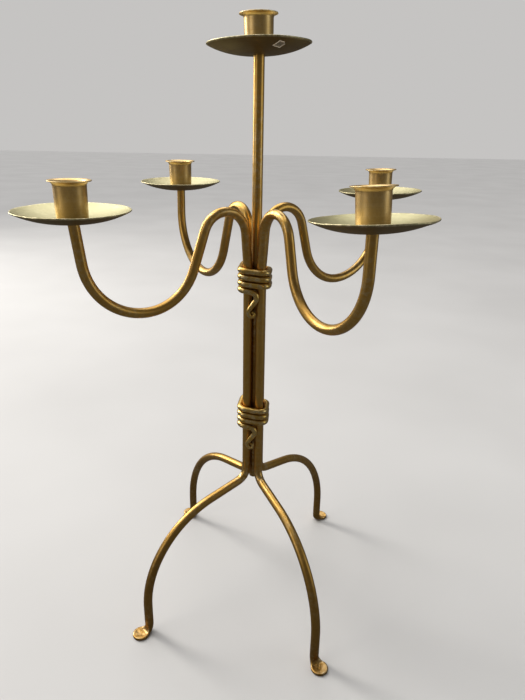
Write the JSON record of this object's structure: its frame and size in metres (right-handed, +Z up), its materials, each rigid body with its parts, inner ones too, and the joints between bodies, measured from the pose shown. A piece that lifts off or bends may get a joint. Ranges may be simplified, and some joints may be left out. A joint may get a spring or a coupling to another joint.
{
  "type": "candelabrum",
  "caption": "Standing brass candelabrum: bent round rods bound with wire form the legs, column and arms, with a drip pan and candle cup on each arm and on the centre rod.",
  "frame": {"origin": "on the floor under the centre rod, which is within a few millimetres of the middle of the footprint", "axes": "+Z up along the centre rod; -Y towards the front, between the two front legs; +X to the right as seen from the front"},
  "size_m": [0.3666, 0.3794, 0.588],
  "materials": {
    "rod": "satin lacquered brass rod, browner on the legs",
    "pan": "satin brass sheet, pale and finely speckled on top, darker below",
    "cup": "satin brass with small scuffs",
    "wire": "satin brass wire, brighter on the outer side of its turns",
    "screw": "dull brass",
    "label": "matt paper, blank"
  },
  "bodies": {
    "root": {"rod_front_left": "rod", "rod_front_right": "rod", "rod_rear_right": "rod", "rod_rear_left": "rod", "centre_rod": "rod", "pan_front_left": "pan", "pan_front_right": "pan", "pan_rear_right": "pan", "pan_rear_left": "pan", "pan_top": "pan", "cup_front_left": "cup", "cup_front_right": "cup", "cup_rear_right": "cup", "cup_rear_left": "cup", "cup_top": "cup", "screw_front_left": "screw", "screw_front_right": "screw", "screw_rear_right": "screw", "screw_rear_left": "screw", "screw_top": "screw", "upper_binding": "wire", "lower_binding": "wire", "pan_label": "label"}
  },
  "joints": []
}
